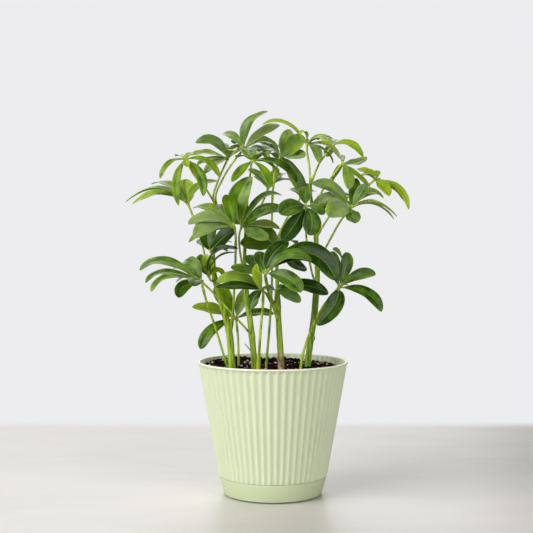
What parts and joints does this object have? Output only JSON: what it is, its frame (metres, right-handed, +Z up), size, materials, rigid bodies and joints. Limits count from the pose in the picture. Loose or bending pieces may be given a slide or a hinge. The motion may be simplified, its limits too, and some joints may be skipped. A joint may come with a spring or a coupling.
{
  "type": "potted umbrella plant",
  "caption": "Bushy dwarf umbrella plant with fans of oval leaflets on slender stalks, growing from dark soil in a pale green ribbed pot that stands in a plain saucer.",
  "frame": {"origin": "middle of the saucer's flat underside, on the axis of the round pot", "axes": "+Z up along the pot's axis, -Y toward the front as pictured, +X to the right of the front view"},
  "size_m": [0.2838, 0.2006, 0.3841],
  "materials": {
    "saucer_plastic": "smooth moulded plastic, pale sage green",
    "pot_plastic": "satin moulded plastic, pale sage green, with a lighter edge along the rim",
    "potting_soil": "dark crumbly potting mix with fibres and pale grains",
    "leaf": "waxy dark green leaf with a paler midrib",
    "young_leaf": "thin satin leaf of new growth, yellow green",
    "leaf_stalk": "smooth round green stalk",
    "woody_stem": "young bark with leaf scars, brown at its foot and green above"
  },
  "bodies": {
    "root": {"saucer": "saucer_plastic", "pot": "pot_plastic", "soil": "potting_soil", "left_shoot": "leaf", "middle_shoot": "leaf", "woody_shoot": "leaf", "right_shoot": "leaf", "left_stalk": "leaf", "low_stalk": "young_leaf", "yellow_stalk": "leaf", "back_stalk": "leaf", "right_stalk": "leaf"}
  },
  "joints": []
}
